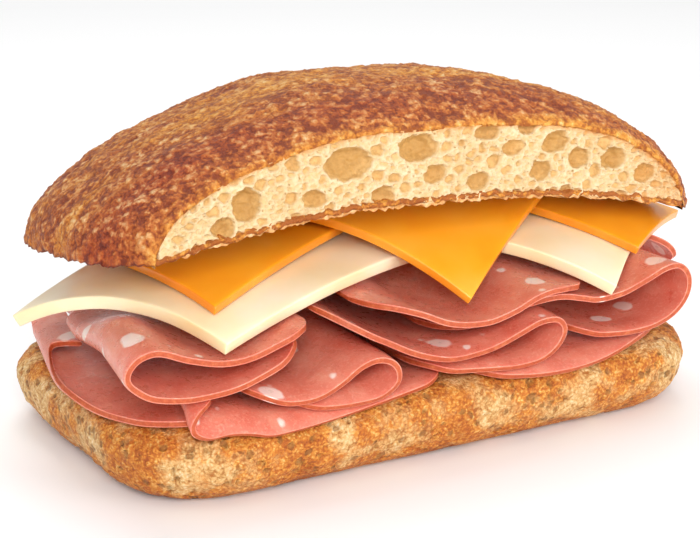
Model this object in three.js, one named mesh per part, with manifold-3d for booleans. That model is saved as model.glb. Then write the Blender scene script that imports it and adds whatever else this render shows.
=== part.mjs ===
// Ciabatta sandwich: bread heel, ruffled mortadella, white and orange cheese, bread crown.
// Millimetres, +Z up, X along the loaf, the open cut side faces -Y.
import * as THREE from 'three';
import { mergeVertices } from 'three/addons/utils/BufferGeometryUtils.js';
import Module from 'manifold-3d';

const wasm = await Module();
wasm.setup();

// ---- heel (lower bread half) ----
const HEEL_HALF_LENGTH = 76;
const HEEL_HALF_WIDTH = 44.7;
const HEEL_CORNER = 24;
const HEEL_TOP = 18;
const HEEL_RING_POINTS = 56;
// each ring: height, how far the outline steps in
const HEEL_SECTION = [[0, 10.6], [0.7, 7.3], [3, 3.9], [6.5, 1.2], [11, 0], [14, 0.3], [16.1, 1.9],
  [17.4, 4.2], [HEEL_TOP, 6.8]];

// ---- crown (upper bread half) ----
const CROWN_CENTRE_X = 0.1;
const CROWN_HALF_LENGTH = 77.5;
const CROWN_FRONT_REACH = 45;
const CROWN_BACK_REACH = 46;
const CROWN_FRONT_POWER = 4;
const CROWN_BACK_POWER = 2.6;
const CROWN_RISE = 27.3;
const CROWN_ROUNDING = 2.2;
const CROWN_FACE_Y = -36;
const CROWN_HOLLOW = 3.5;
const CROWN_DROOP = 0.8;
const CROWN_RING_POINTS = 60;
const CROWN_TOP_RINGS = [0.3, 0.52, 0.69, 0.81, 0.89, 0.945, 0.98];
const CROWN_UNDER_RINGS = [0.35, 0.62, 0.84];
// open crumb cells on the cut face: X, Z, half width, half height
const CRUMB_CELLS = [
  [-22.7, 69.1, 5.7, 3.7], [-5.4, 70.5, 5.1, 3.1], [-46.6, 63.3, 3.3, 3.6], [-52.1, 59, 2.8, 2.2],
  [-30.9, 62.4, 2.7, 2.1], [-1.1, 64.3, 3, 2.1], [-14.1, 61.1, 2.9, 2.1], [12.2, 72, 3.3, 2.1],
  [23.1, 72.3, 2.9, 1.9], [30.8, 67.8, 3.6, 2.4], [37.4, 63.4, 3, 2.3], [47, 62.2, 3.6, 2.6],
  [26.7, 61.6, 3.1, 2.3], [56.1, 57.6, 3, 2.3], [10.1, 61.2, 2.9, 2.1],
];
const CELL_DEPTH = 2.6;

// ---- mortadella ----
const SLICE_THICKNESS = 1.4;
const SLICE_CORNER = 9;
const SLICE_END_HALF_WIDTH = 3;
const SLICE_SPACING = 5.5;
const SLICE_ROWS = [-1, -0.9, -0.76, -0.4, 0.1, 0.55, 0.82, 1];
const BED = 19.3;
// Each slice is a round sheet bent along a curve in the XZ plane.
// curve: bend from one end to the other, reach: half width across Y at the middle,
// y: centre line, power: roundness of the outline, middle: curve point at the widest place,
// half: half length of the outline along the curve, sag: how the slice sinks onto the one below
// in the middle of the stack, as [x, half width, above this height, depth], lean: how far the left
// folds run inward toward the back, as [slope, from this Y, over this depth], end: least half
// width, drift: how far the centre line has moved at each length along the curve.
const SLICES = {
  mortadella_bed_right: {
    curve: [[4.2, 19.3], [30, 19.3], [60, 19.3], [72, 19.3], [77, 18.8]],
    reach: 45.5, y: 0, power: 2.1, middle: [27.5, 19.3], half: 50 },
  mortadella_bed_left: {
    curve: [[1.5, 19.3], [-20, 19.3], [-42, 19.3], [-47, 19.6], [-51, 20.9], [-56, 21.75], [-61.5, 21.8],
      [-64.9, 23.3], [-63, 24.8], [-57.5, 24.9]],
    reach: 45.6, y: 0, power: 2.2, middle: [-61.5, 21.8], half: 122, lean: [0.35, -44, 24] },
  mortadella_left_end: {
    curve: [[-55, 19.3], [-64, 19.3], [-71, 19.1], [-75.8, 19.3], [-78, 21.2], [-77.2, 23.6], [-73.5, 24.5],
      [-69.5, 24.2]],
    reach: 38.5, y: -1, power: 2, middle: [-55, 19.3], half: 27, end: 13, lean: [0.25, -6, 40],
    drift: [[16, 0], [22, 6], [24, 12], [27, 28], [33, 24], [37, 21]] },
  mortadella_fold_centre_left: {
    curve: [[-43, 21.9], [-36, 21.75], [-27, 21.9], [-20, 22.6], [-16.2, 24.8], [-16.8, 27.3], [-20.6, 29],
      [-25, 28.6], [-30, 26.4], [-36, 24.4], [-42, 24.2], [-47, 24.8], [-51.5, 25.6]],
    reach: 46.5, y: 0, power: 3.2, middle: [-20.8, 28.5], half: 56 },
  mortadella_fold_left: {
    curve: [[-36, 34.5], [-39.5, 32.2], [-44, 30.2], [-50, 28.6], [-57, 27.7], [-66, 27.9], [-74, 29.6],
      [-78.4, 33.6], [-76.8, 36.9], [-72.3, 38.2], [-64.5, 35.4], [-57.5, 33.5], [-49.5, 33.7], [-42, 36],
      [-37.5, 36.9], [-34, 36.7]],
    reach: 28.5, y: -16.5, power: 3.5, middle: [-70, 38], half: 82, lean: [0.19, -44, 56],
    sag: [[-69, 17, 31, 4.6], [-40, 14, 28, 4]] },
  mortadella_fold_centre: {
    curve: [[-8, 22.8], [0, 21.8], [8, 21.75], [17, 21.75], [22.5, 22.6], [26.6, 25], [28.1, 27.7],
      [26.4, 29.8], [22, 30.1], [16.5, 28.6], [11, 27], [4, 25.9], [-4, 26.2], [-12, 28.5],
      [-20, 32.2], [-26, 35.6], [-30.5, 37.9]],
    reach: 45.3, y: 0, power: 3.5, middle: [16.5, 28.4], half: 70,
    sag: [[20, 13, 27, 3.4]] },
  mortadella_fold_right: {
    curve: [[33.5, 24.2], [42, 22.8], [53, 22.8], [61.3, 25], [65.3, 29.2], [65.4, 33], [62.8, 35.8],
      [58.5, 35.8], [52.7, 33.8], [46.5, 31.8], [40, 31.2], [35, 32.2], [29, 33.4], [24, 33.3], [18, 32],
      [12, 30], [5, 28.7], [-1, 28.6]],
    reach: 42.5, y: 0, power: 3, middle: [65, 36], half: 88,
    sag: [[55, 18, 30, 6.5]] },
  mortadella_right_end: {
    curve: [[46, 35.6], [51.5, 36.4], [57, 37.6], [62.5, 38.1], [68.5, 37.4], [73.5, 35.2], [77, 31],
      [77.6, 28.6]],
    reach: 26, y: 10, power: 2.4, middle: [63, 38.1], half: 26, drift: [[16, 0], [34, -14]] },
  mortadella_top: {
    curve: [[-21, 38.2], [-15, 37.8], [-10, 36.4], [-3, 33.4], [6.3, 31.9], [14.4, 33.4], [19.7, 35.4],
      [24.5, 36.3], [29, 35.85], [34, 34.9], [40, 33.6]],
    reach: 45.5, y: 0, power: 3, middle: [8, 32], half: 44,
    sag: [[-15, 9, 34, 3.6], [6, 12, 31, 0.8]] },
};

// ---- cheese ----
// front, right, left: plan corners; under: heights of the underside, rows from front-right to left.
const CHEESE_DIVISIONS = 7;
const WHITE_THICKNESS = 3;
const ORANGE_THICKNESS = 2.1;
const CHEESES = {
  white_cheese_left: { front: [-56.4, -44.1], right: [1.3, -22.3], left: [-81.8, 5.2], thick: WHITE_THICKNESS,
    under: [[34.9, 39.4, 40.6], [39.7, 42.2, 42.6], [31.2, 39.3, 40]] },
  white_cheese_right: { front: [41.5, -44], right: [64.5, -24], left: [10, -10], thick: WHITE_THICKNESS,
    under: [[32.4, 36, 37.4], [39.9, 41.6, 41.9], [40.2, 41.6, 41.2]] },
  orange_cheese_left: { front: [-55.2, -37.1], right: [-1.5, -6.6], left: [-71.4, 19.6],
    thick: ORANGE_THICKNESS, under: [[41.3, 45.2, 46.8], [45, 46.9, 46.4], [42, 43, 38.4]] },
  orange_cheese_right: { front: [54, -36.6], right: [81.8, -17.2], left: [20, 13.4], thick: ORANGE_THICKNESS,
    under: [[38.5, 40.1, 39.2], [45.9, 46.4, 43.9], [46.6, 46, 42.2]] },
  orange_cheese_centre: { front: [5.1, -40], right: [43.2, -14.3], left: [-31, 5], thick: ORANGE_THICKNESS,
    under: [[34.9, 42.8, 48.7], [48.4, 49.7, 50], [49.4, 49.5, 47.5]] },
};

const clamp = (v) => Math.min(Math.max(v, 0), 1);
const smooth = (v) => v * v * (3 - 2 * v);

// Indexed mesh data from rings of equal length, closed at both ends.
function ringBody(rings, startCap, endCap) {
  const n = rings[0].length;
  const position = rings.flat().flat();
  const index = [];
  for (let r = 0; r + 1 < rings.length; r += 1) {
    for (let i = 0; i < n; i += 1) {
      const j = (i + 1) % n;
      const a = r * n + i;
      const b = r * n + j;
      index.push(a, b, b + n, a, b + n, a + n);
    }
  }
  const last = (rings.length - 1) * n;
  const start = position.length / 3;
  position.push(...startCap, ...endCap);
  for (let i = 0; i < n; i += 1) {
    const j = (i + 1) % n;
    index.push(start, j, i, start + 1, last + i, last + j);
  }
  return toGeometry(position, index);
}

function toGeometry(position, index) {
  const geometry = new THREE.BufferGeometry();
  geometry.setAttribute('position', new THREE.Float32BufferAttribute(position, 3));
  geometry.setIndex(index);
  geometry.computeVertexNormals();
  return geometry;
}

function toSolid(source) {
  const plain = source.clone();
  plain.deleteAttribute('normal');
  plain.deleteAttribute('uv');
  const merged = mergeVertices(plain, 1e-4);
  return new wasm.Manifold(new wasm.Mesh({
    numProp: 3,
    vertProperties: new Float32Array(merged.attributes.position.array),
    triVerts: new Uint32Array(merged.index.array),
  }));
}

function fromSolid(solid) {
  const mesh = solid.getMesh();
  return toGeometry(Array.from(mesh.vertProperties), Array.from(mesh.triVerts));
}

// Closed sheet from two matching grids of points, upper and lower.
function sheetBody(upper, lower) {
  const rows = upper.length;
  const cols = upper[0].length;
  const size = rows * cols;
  const index = [];
  const at = (r, c) => r * cols + c;
  for (let r = 0; r + 1 < rows; r += 1) {
    for (let c = 0; c + 1 < cols; c += 1) {
      const quad = [at(r, c), at(r, c + 1), at(r + 1, c + 1), at(r + 1, c)];
      index.push(quad[0], quad[1], quad[2], quad[0], quad[2], quad[3]);
      const under = quad.map((k) => size + k);
      index.push(under[0], under[2], under[1], under[0], under[3], under[2]);
    }
  }
  const edge = [];
  for (let c = 0; c < cols; c += 1) edge.push(at(0, c));
  for (let r = 1; r < rows; r += 1) edge.push(at(r, cols - 1));
  for (let c = cols - 2; c >= 0; c -= 1) edge.push(at(rows - 1, c));
  for (let r = rows - 2; r > 0; r -= 1) edge.push(at(r, 0));
  edge.forEach((a, k) => {
    const b = edge[(k + 1) % edge.length];
    index.push(a, size + a, size + b, a, size + b, b);
  });
  return toGeometry([...upper.flat().flat(), ...lower.flat().flat()], index);
}

// ---- heel ----
function heelRing(z, inset) {
  const ring = [];
  for (let i = 0; i < HEEL_RING_POINTS; i += 1) {
    const t = (2 * Math.PI * (i + 0.5)) / HEEL_RING_POINTS;
    const cx = Math.sign(Math.cos(t)) * (HEEL_HALF_LENGTH - HEEL_CORNER);
    const cy = Math.sign(Math.sin(t)) * (HEEL_HALF_WIDTH - HEEL_CORNER);
    ring.push([cx + (HEEL_CORNER - inset) * Math.cos(t), cy + (HEEL_CORNER - inset) * Math.sin(t), z]);
  }
  return ring;
}

function heel() {
  const rings = HEEL_SECTION.map(([z, inset]) => heelRing(z, inset));
  return ringBody(rings, [0, 0, 0], [0, 0, HEEL_TOP]);
}

// ---- crown ----
function crownReach(t) {
  const front = Math.sin(t) < 0;
  const power = front ? CROWN_FRONT_POWER : CROWN_BACK_POWER;
  const reach = front ? CROWN_FRONT_REACH : CROWN_BACK_REACH;
  const scale = (Math.abs(Math.cos(t)) ** power + Math.abs(Math.sin(t)) ** power) ** (-1 / power);
  return [CROWN_HALF_LENGTH * scale * Math.cos(t), reach * scale * Math.sin(t)];
}

// Lower edge of the crown: arched along the loaf, tipped down toward the back and closing there.
function crownLevel(x, y) {
  const arch = 0.00155 * (Math.max(x, -66) + 10) ** 2;
  const tip = 0.13 - 0.0005 * (x + 76);
  const droop = CROWN_DROOP * smooth(clamp((x + 25) / 25));
  return 58.4 - arch - droop - tip * (y - CROWN_FACE_Y);
}

const crownClosing = (x, y) => 0.0028 * Math.max(0, y) ** 2 * clamp(1.25 - Math.abs(x) / 80);
const crownEdge = (x, y) => crownLevel(x, y) - crownClosing(x, y);

function crownUnder(x, y) {
  const along = clamp(1 - (x / 70) ** 2);
  const across = clamp(1 - ((y - 2) / 42) ** 2);
  return crownEdge(x, y) + CROWN_HOLLOW * along * across;
}

function crownTop(x, y, part) {
  const rise = CROWN_RISE * (1 - 0.06 * Math.exp(-(((x + 46) / 20) ** 2)));
  const level = crownLevel(x, y) - crownClosing(x, y) * part ** 4;
  return level + rise * (1 - part ** CROWN_ROUNDING) ** (1 / CROWN_ROUNDING);
}

function crownRing(part, height) {
  const ring = [];
  for (let i = 0; i < CROWN_RING_POINTS; i += 1) {
    const [rx, ry] = crownReach((2 * Math.PI * (i + 0.5)) / CROWN_RING_POINTS);
    const x = CROWN_CENTRE_X + rx * part;
    const y = ry * part;
    ring.push([x, y, height(x, y, part)]);
  }
  return ring;
}

function crown() {
  const under = CROWN_UNDER_RINGS.map((part) => crownRing(part, crownUnder));
  const edge = crownRing(1, crownEdge);
  const over = CROWN_TOP_RINGS.map((part) => crownRing(part, crownTop)).reverse();
  const floor = [CROWN_CENTRE_X, 0, crownUnder(CROWN_CENTRE_X, 0)];
  const peak = [CROWN_CENTRE_X, 0, crownTop(CROWN_CENTRE_X, 0, 0)];
  let solid = toSolid(ringBody([...under, edge, ...over], floor, peak));
  const front = new THREE.BoxGeometry(200, 40, 200);
  front.translate(0, CROWN_FACE_Y - 20, 60);
  solid = solid.subtract(toSolid(front));
  for (const [x, z, halfWidth, halfHeight] of CRUMB_CELLS) {
    const cell = new THREE.IcosahedronGeometry(1, 1);
    cell.scale(halfWidth, CELL_DEPTH, halfHeight);
    cell.translate(x, CROWN_FACE_Y, z);
    solid = solid.subtract(toSolid(cell));
  }
  return fromSolid(solid);
}

// ---- mortadella ----
// Heights stay on the bed, swell a little in the middle and hang over the front edge.
function settle(x, y, z, slice) {
  const middle = clamp(1 - (Math.abs(x) / 72) ** 4) * clamp(1 - ((y - 5) / 35) ** 2) ** 2;
  const back = 0.05 * smooth(clamp((y - 12) / 32));
  const left = 0.25 * clamp((-58 - x) / 18) * clamp((y + 22) / 26);
  const hang = 0.04 * Math.max(0, -38 - y) ** 2 * clamp((31 - z) / 10);
  const fold = slice.curve === SLICES.mortadella_bed_left.curve
    ? 0.05 * Math.max(0, -40 - y) ** 2 * clamp((25 - z) / 3.2) : 0;
  const level = BED + (z - BED) * (1 + 0.2 * middle - back - left) - hang - fold;
  const inside = clamp(1 - ((y - 8) / 30) ** 2) ** 2;
  return (slice.sag ?? []).reduce((height, [at, reach, above, depth]) => (
    height - depth * inside * clamp(1 - ((x - at) / reach) ** 2) ** 2 * clamp((z - above) / 2)), level);
}

// The folds on the left run inward toward the back.
function leaning(x, y, slice) {
  const [slope, from, depth] = slice.lean ?? [0, 0, 0];
  return slope * Math.min(Math.max(y - from, 0), depth) * clamp((-40 - x) / 30);
}

function drifting(length, steps) {
  let moved = steps[0][1];
  for (let k = 0; k + 1 < steps.length; k += 1) {
    const [from, low] = steps[k];
    const [to, high] = steps[k + 1];
    moved += (high - low) * clamp((length - from) / (to - from));
  }
  return moved;
}

function sliceColumns(slice) {
  const points = slice.curve.map(([x, z]) => new THREE.Vector3(x, 0, z));
  const path = new THREE.CatmullRomCurve3(points, false, 'centripetal');
  const spans = slice.curve.length - 1;
  const columns = [];
  for (let k = 0; k < spans; k += 1) {
    const from = path.getPoint(k / spans);
    const pieces = Math.max(2, Math.ceil(from.distanceTo(path.getPoint((k + 1) / spans)) / SLICE_SPACING));
    for (let i = 0; i < pieces; i += 1) columns.push(path.getPoint((k + i / pieces) / spans));
  }
  columns.push(path.getPoint(1));
  return columns;
}

function sliceGrid(slice) {
  const columns = sliceColumns(slice);
  const along = [0];
  for (let i = 1; i < columns.length; i += 1) {
    along.push(along[i - 1] + columns[i].distanceTo(columns[i - 1]));
  }
  const middle = new THREE.Vector3(slice.middle[0], 0, slice.middle[1]);
  let widest = 0;
  columns.forEach((p, i) => {
    if (p.distanceTo(middle) < columns[widest].distanceTo(middle)) widest = i;
  });
  return SLICE_ROWS.map((row) => columns.map((p, i) => {
    const u = Math.abs(along[i] - along[widest]) / slice.half;
    const nearEnd = clamp(1 - Math.min(along[i], along.at(-1) - along[i]) / SLICE_CORNER);
    const width = slice.reach * clamp(1 - u ** slice.power) ** (1 / slice.power)
      - SLICE_CORNER * (1 - Math.sqrt(1 - nearEnd ** 2));
    const centre = slice.y + drifting(along[i], slice.drift ?? [[0, 0]]);
    const y = centre + row * Math.max(width, slice.end ?? SLICE_END_HALF_WIDTH);
    return new THREE.Vector3(p.x + leaning(p.x, y, slice), y, settle(p.x, y, p.z, slice));
  }));
}

// Moves a grid along its own normals.
function offsetGrid(grid, distance) {
  return grid.map((line, r) => line.map((p, c) => {
    const alongRow = line[Math.min(c + 1, line.length - 1)].clone().sub(line[Math.max(c - 1, 0)]);
    const across = grid[Math.min(r + 1, grid.length - 1)][c].clone().sub(grid[Math.max(r - 1, 0)][c]);
    const normal = alongRow.cross(across).normalize();
    return p.clone().addScaledVector(normal, distance).toArray();
  }));
}

function mortadella(slice) {
  const grid = sliceGrid(slice);
  return sheetBody(offsetGrid(grid, SLICE_THICKNESS / 2), offsetGrid(grid, -SLICE_THICKNESS / 2));
}

// ---- cheese ----
function quadratic(v, t) {
  return v[0] * 2 * (t - 0.5) * (t - 1) - v[1] * 4 * t * (t - 1) + v[2] * 2 * t * (t - 0.5);
}

function cheese({ front, right, left, thick, under }) {
  const layer = (lift) => {
    const rows = [];
    for (let r = 0; r <= CHEESE_DIVISIONS; r += 1) {
      const q = r / CHEESE_DIVISIONS;
      const row = [];
      for (let c = 0; c <= CHEESE_DIVISIONS; c += 1) {
        const p = c / CHEESE_DIVISIONS;
        const x = front[0] + (right[0] - front[0]) * p + (left[0] - front[0]) * q;
        const y = front[1] + (right[1] - front[1]) * p + (left[1] - front[1]) * q;
        row.push([x, y, quadratic(under.map((heights) => quadratic(heights, p)), q) + lift]);
      }
      rows.push(row);
    }
    return rows;
  };
  return sheetBody(layer(thick), layer(0));
}

// ---- assembly ----
const crust = new THREE.MeshStandardMaterial({ color: '#c98a4b', roughness: 0.8, metalness: 0 });
const toast = new THREE.MeshStandardMaterial({ color: '#d9a05a', roughness: 0.85, metalness: 0 });
const meat = new THREE.MeshStandardMaterial({ color: '#dc8074', roughness: 0.5, metalness: 0 });
const whiteCheese = new THREE.MeshStandardMaterial({ color: '#f5e6bd', roughness: 0.45, metalness: 0 });
const orangeCheese = new THREE.MeshStandardMaterial({ color: '#f9a51a', roughness: 0.4, metalness: 0 });

const sandwich = new THREE.Group();

function add(name, geometry, material) {
  const mesh = new THREE.Mesh(geometry, material.clone());
  mesh.name = name;
  sandwich.add(mesh);
}

add('bread_heel', heel(), toast);
for (const [name, slice] of Object.entries(SLICES)) add(name, mortadella(slice), meat);
for (const [name, slice] of Object.entries(CHEESES)) {
  add(name, cheese(slice), name.startsWith('white') ? whiteCheese : orangeCheese);
}
add('bread_crown', crown(), crust);

// Origin under the centre of the sandwich, on the surface it rests on.
const box = new THREE.Box3().setFromObject(sandwich);
const centre = box.getCenter(new THREE.Vector3());
sandwich.position.set(-centre.x, -centre.y, -box.min.z);

export default sandwich;
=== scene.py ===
"""Ciabatta sandwich: crackled bread crown with an open crumb face, toasted heel,
ruffled mortadella slices and pointed sheets of white and orange cheese."""
import bpy
import bmesh
import math
import random
import numpy as np
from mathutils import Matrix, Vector, noise


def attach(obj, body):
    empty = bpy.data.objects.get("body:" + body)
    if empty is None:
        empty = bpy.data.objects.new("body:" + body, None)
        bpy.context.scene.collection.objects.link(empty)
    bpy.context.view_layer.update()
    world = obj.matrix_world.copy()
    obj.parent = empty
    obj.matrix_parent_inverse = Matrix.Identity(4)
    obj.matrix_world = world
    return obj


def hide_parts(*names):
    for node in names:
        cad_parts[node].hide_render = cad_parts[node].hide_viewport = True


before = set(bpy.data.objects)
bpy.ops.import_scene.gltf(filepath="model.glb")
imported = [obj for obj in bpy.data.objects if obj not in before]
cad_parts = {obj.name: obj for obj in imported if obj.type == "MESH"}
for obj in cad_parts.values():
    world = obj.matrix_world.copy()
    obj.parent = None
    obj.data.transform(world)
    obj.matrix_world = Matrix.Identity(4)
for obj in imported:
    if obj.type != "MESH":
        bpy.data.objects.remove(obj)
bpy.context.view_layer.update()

noise.seed_set(11)        # noise_vector draws its offset from this, so that each run is the same

MM = 0.001
SHIFT_Y = -1.717          # the drawing's Y origin in the row frame, mm


def at(x, y, z):
    """A point of the drawing, in mm, as a place in the row frame."""
    return Vector((x * MM, (y + SHIFT_Y) * MM, z * MM))


def clamp(v, low=0.0, high=1.0):
    return max(low, min(high, v))


def smooth(v):
    v = clamp(v)
    return v * v * (3 - 2 * v)


def finish(bm, name, nodes, materials):
    """Turns a bmesh into a piece that stands for the CAD nodes."""
    mesh = bpy.data.meshes.new(name)
    bm.to_mesh(mesh)
    bm.free()
    mesh.polygons.foreach_set("use_smooth", [True] * len(mesh.polygons))
    for material in materials:
        mesh.materials.append(material)
    piece = bpy.data.objects.new(name, mesh)
    bpy.context.scene.collection.objects.link(piece)
    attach(piece, "root")
    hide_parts(*nodes)
    return piece


# ---------------------------------------------------------------- materials

def linear(hexcode):
    """sRGB hex as linear RGBA."""
    values = [int(hexcode[i:i + 2], 16) / 255 for i in (1, 3, 5)]
    return [v / 12.92 if v <= 0.04045 else ((v + 0.055) / 1.055) ** 2.4 for v in values] + [1.0]


def add(tree, kind, inputs=(), out=None, stops=(), **settings):
    """Adds a node with its settings, colour stops and inputs, by name or in order: each a
    link, a value or an sRGB hex. Gives the output called out, else the first one in use."""
    node = tree.nodes.new("ShaderNode" + kind)
    for key, value in settings.items():
        setattr(node, key, value)
    for key, value in inputs.items() if isinstance(inputs, dict) else enumerate(inputs):
        socket = node.inputs[key] if isinstance(key, int) else None
        socket = socket or next(s for s in node.inputs if s.enabled and s.name == key)
        if isinstance(value, bpy.types.NodeSocket):
            tree.links.new(value, socket)
        else:
            socket.default_value = linear(value) if isinstance(value, str) else value
    if stops:
        elements = node.color_ramp.elements
        while len(elements) < len(stops):
            elements.new(0.5)
        for element, (place, colour) in zip(elements, stops):
            element.position, element.color = place, linear(colour)
    return node.outputs[out] if out else next(s for s in node.outputs if s.enabled)


def start(name, **shader):
    """A new material with these values on its shader."""
    material = bpy.data.materials.new(name)
    material.use_nodes = True
    tree = material.node_tree
    bsdf = tree.nodes["Principled BSDF"]
    for key, value in shader.items():
        bsdf.inputs[key.replace("_", " ")].default_value = value
    return material, tree, bsdf


def ripple(tree, place, scale, bend):
    """Coordinates pushed about by fine noise, so cells laid on them lose their straight sides."""
    warp = add(tree, "TexNoise", {"Vector": place, "Scale": scale, "Detail": 3.0}, "Color")
    push = add(tree, "VectorMath", {"Vector": warp, "Scale": bend}, operation="SCALE")
    return add(tree, "VectorMath", [place, push], operation="ADD")


def wear(material, tree, bsdf, colour, bump):
    """Puts the colour and the bump on the shader. Gives the material."""
    tree.links.new(colour, bsdf.inputs["Base Color"])
    tree.links.new(bump, bsdf.inputs["Normal"])
    return material


COLOURS = dict(data_type="RGBA")      # a Mix node that mixes colours
FAT_WOBBLE = 0.0022                   # how far the outlines of the fat flecks wander, m


def baked_crust():
    """Ciabatta crust: baked wheat dough, floured before the oven. Matt, broken into floury
    nodules over red-brown crevices, with golden streaks along the loaf."""
    material, tree, bsdf = start("baked ciabatta crust", Roughness=0.46, IOR=1.45)
    place = add(tree, "TexCoord", out="Object")
    bake, flour, gold, crag = (add(tree, "Attribute", out="Fac", attribute_name=name)
                               for name in ("bake", "flour", "gold", "crag"))
    bent = ripple(tree, place, 700.0, 0.0011)
    # nodules 1.8 mm apart, crumbs 0.7 mm, ridges 3 mm, grain 0.8 mm, blotches 7 mm
    nodule = add(tree, "TexVoronoi", {"Vector": bent, "Scale": 560.0, "Smoothness": 0.15},
                 feature="SMOOTH_F1")
    crumbs = add(tree, "TexVoronoi", {"Vector": bent, "Scale": 1500.0})
    fine = add(tree, "TexNoise", {"Vector": place, "Scale": 1300.0, "Detail": 5.0, "Roughness": 0.7})
    blotch = add(tree, "TexNoise", {"Vector": place, "Scale": 150.0, "Detail": 4.0, "Roughness": 0.6})
    ridge = add(tree, "TexNoise", {"Vector": bent, "Scale": 330.0, "Detail": 5.0, "Roughness": 0.65})
    # the relief: nodules stand up where ridges gather them, crumbs and grain between them
    gather = add(tree, "MapRange", [ridge, 0.38, 0.6, 0.3, 1.0])
    round_top = add(tree, "MapRange", [nodule, 0.72, 0.15, 0.0, 0.55])
    round_top = add(tree, "Math", [round_top, gather], operation="MULTIPLY")
    small_top = add(tree, "MapRange", [crumbs, 0.8, 0.1, 0.0, 0.26])
    grain = add(tree, "MapRange", [fine, 0.3, 0.7, -0.12, 0.16])
    swell = add(tree, "MapRange", [ridge, 0.35, 0.65, -0.08, 0.14])
    grain = add(tree, "Math", [grain, swell], operation="ADD")
    relief = add(tree, "Math", [round_top, small_top], operation="ADD")
    relief = add(tree, "Math", [relief, grain], operation="ADD")
    raised = add(tree, "MapRange", [crag, 0.0, 1.0, -0.16, 0.2])
    relief = add(tree, "Math", [relief, raised], operation="ADD")
    uneven = add(tree, "MapRange", [blotch, 0.3, 0.7, -0.14, 0.14])
    height = add(tree, "Math", [relief, uneven], operation="ADD")
    # crevices are dark, tops pale
    red = add(tree, "ValToRGB", [height], stops=[
        (0.1, "#86390e"), (0.34, "#bb6522"), (0.56, "#d78a3c"), (0.8, "#e6aa66"), (1.0, "#f2cb94")])
    yellow = add(tree, "ValToRGB", [height], stops=[
        (0.1, "#ab5c16"), (0.36, "#d98a2c"), (0.7, "#eead4f"), (1.0, "#f8d590")])
    toned = add(tree, "Mix", {"Factor": gold, "A": red, "B": yellow}, **COLOURS)
    baked = add(tree, "MapRange", [bake, 0.0, 1.0, 0.0, 0.8])
    dark = add(tree, "Mix", {"Factor": baked, "A": toned, "B": "#d07c40"}, **COLOURS, blend_type="MULTIPLY")
    tops = add(tree, "MapRange", [height, 0.42, 0.95, 0.0, 1.0])
    powder = add(tree, "Math", [tops, flour], operation="MULTIPLY")
    floured = add(tree, "Mix", {"Factor": powder, "A": dark, "B": "#efc893"}, **COLOURS)
    low = add(tree, "Bump", {"Height": relief, "Strength": 0.9, "Distance": 0.0006})
    bump = add(tree, "Bump", {"Height": fine, "Normal": low, "Strength": 0.5, "Distance": 0.0003})
    return wear(material, tree, bsdf, floured, bump)


def open_crumb():
    """Ciabatta crumb: gelled wheat starch set around gas bubbles. Cream, matt, with
    tan bubble walls and sub-millimetre pores in the webs."""
    material, tree, bsdf = start("open ciabatta crumb", Roughness=0.6, IOR=1.4)
    place = add(tree, "TexCoord", out="Object")
    cell, toast = (add(tree, "Attribute", out="Fac", attribute_name=name) for name in ("cell", "toast"))
    bent = ripple(tree, place, 500.0, 0.0012)
    # pores 1.3 mm apart, webs 1.4 mm, clouds 11 mm
    pores = add(tree, "TexVoronoi", {"Vector": bent, "Scale": 780.0})
    web = add(tree, "TexNoise", {"Vector": place, "Scale": 700.0, "Detail": 5.0, "Roughness": 0.65})
    broad = add(tree, "TexNoise", {"Vector": place, "Scale": 90.0, "Detail": 3.0})
    cream = add(tree, "ValToRGB", [broad], stops=[(0.3, "#d5b78a"), (0.7, "#e3cba4")])
    thin = add(tree, "MapRange", [web, 0.56, 0.36, 0.0, 0.7])
    webbed = add(tree, "Mix", {"Factor": thin, "A": cream, "B": "#c9a566"}, **COLOURS)
    # pores picked from the cells turn dark tan: painted shade inside holes the mesh does not have
    pore = add(tree, "MapRange", [pores, 0.4, 0.16, 0.0, 1.0])
    some = add(tree, "MapRange", [web, 0.47, 0.6, 0.0, 1.0])
    pore_shade = add(tree, "Math", [pore, some], operation="MULTIPLY")
    flesh = add(tree, "Mix", {"Factor": pore_shade, "A": webbed, "B": "#9c7438"}, **COLOURS)
    # inside the bubbles: tan, clouded, and darker with depth as painted shade
    hollow = add(tree, "ValToRGB", [cell], stops=[
        (0.0, "#e0c292"), (0.25, "#d4ad72"), (0.7, "#cda263"), (1.0, "#b98c4c")])
    haze = add(tree, "MapRange", [web, 0.45, 0.62, 0.0, 0.4])
    cloudy = add(tree, "Mix", {"Factor": haze, "A": hollow, "B": "#9c7136"}, **COLOURS)
    inside = add(tree, "MapRange", [cell, 0.05, 0.3, 0.0, 1.0])
    holed = add(tree, "Mix", {"Factor": inside, "A": flesh, "B": cloudy}, **COLOURS)
    brown = add(tree, "ValToRGB", [web], stops=[(0.3, "#ad5c18"), (0.5, "#d28534"), (0.7, "#e6ac5e")])
    edge = add(tree, "Mix", {"Factor": toast, "A": holed, "B": brown}, **COLOURS)
    low = add(tree, "Bump", {"Height": web, "Strength": 0.6, "Distance": 0.0005})
    bump = add(tree, "Bump", {"Height": pores, "Normal": low, "Strength": 0.45, "Distance": 0.0005})
    return wear(material, tree, bsdf, edge, bump)


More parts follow.
